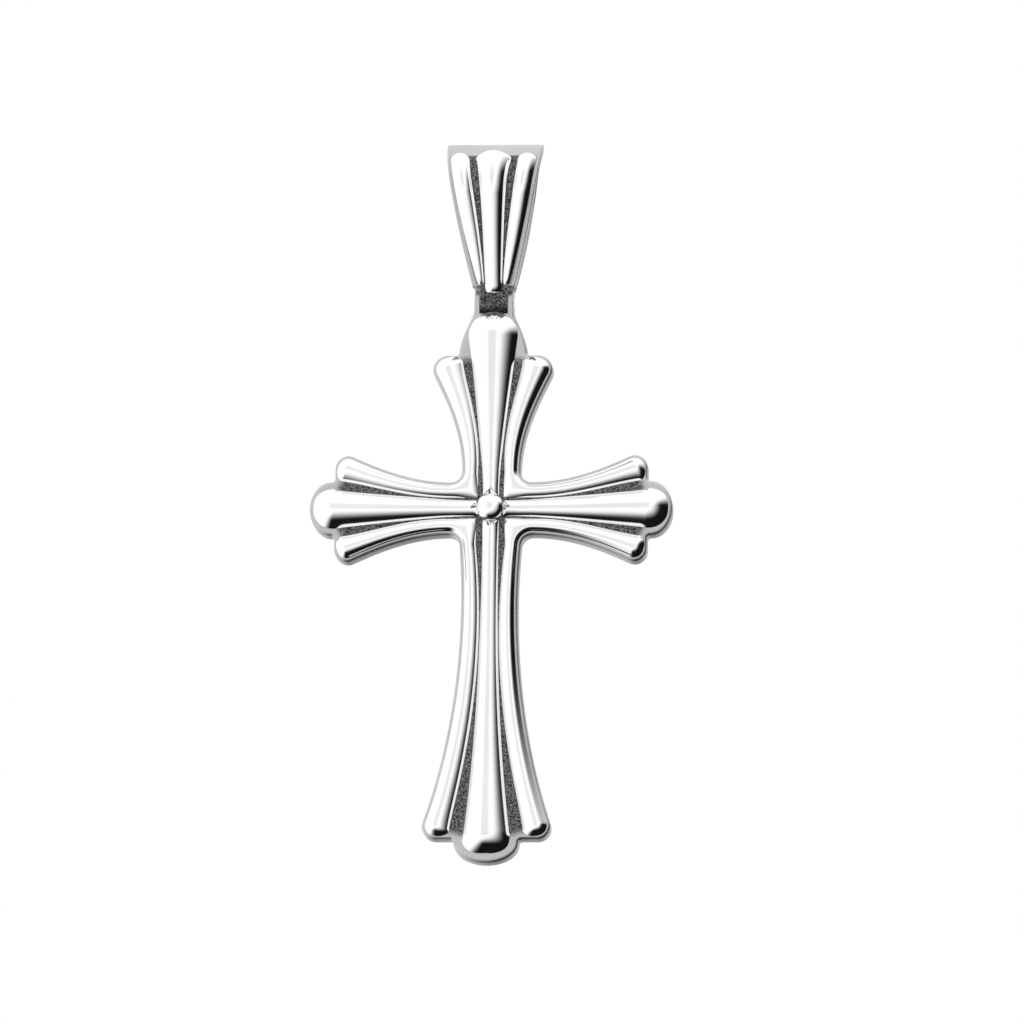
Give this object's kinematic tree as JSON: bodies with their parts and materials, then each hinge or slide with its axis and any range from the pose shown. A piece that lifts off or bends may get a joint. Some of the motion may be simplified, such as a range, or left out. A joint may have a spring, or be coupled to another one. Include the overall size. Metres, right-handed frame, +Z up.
{
  "type": "cross pendant",
  "caption": "Polished cross pendant with three-lobed flared arms and a domed boss, hinged under a tapered fluted chain bail.",
  "frame": {"origin": "chain seat: the middle of the inside of the bail's top bend, where the chain bears", "axes": "+Z up, away from the cross's foot; -Y out of the decorated front; +X to the right when seen from the front"},
  "size_m": [0.0282, 0.0078, 0.0569],
  "materials": {
    "polished": "mirror polished, with fine wear scratches",
    "satin": "satin rim, with a dark cast grain in the grooves"
  },
  "bodies": {
    "bail": {"bail_loop": "satin", "bail_flute_middle": "polished", "bail_flute_right": "polished", "bail_flute_left": "polished"},
    "cross": {"back_plate": "satin", "centre_rib_up": "polished", "centre_rib_right": "polished", "centre_rib_down": "polished", "centre_rib_left": "polished", "corner_rib_upper_right": "polished", "corner_rib_upper_left": "polished", "corner_rib_lower_right": "polished", "corner_rib_lower_left": "polished", "boss_seat": "polished", "boss_stud": "polished", "hinge_pin": "polished"}
  },
  "joints": [
    {"name": "cross_swing", "type": "hinge", "parent": "bail", "child": "cross", "pos_m": [0, 0, -0.01185], "axis": [1, 0, 0], "range_deg": [-60, 70]}
  ]
}
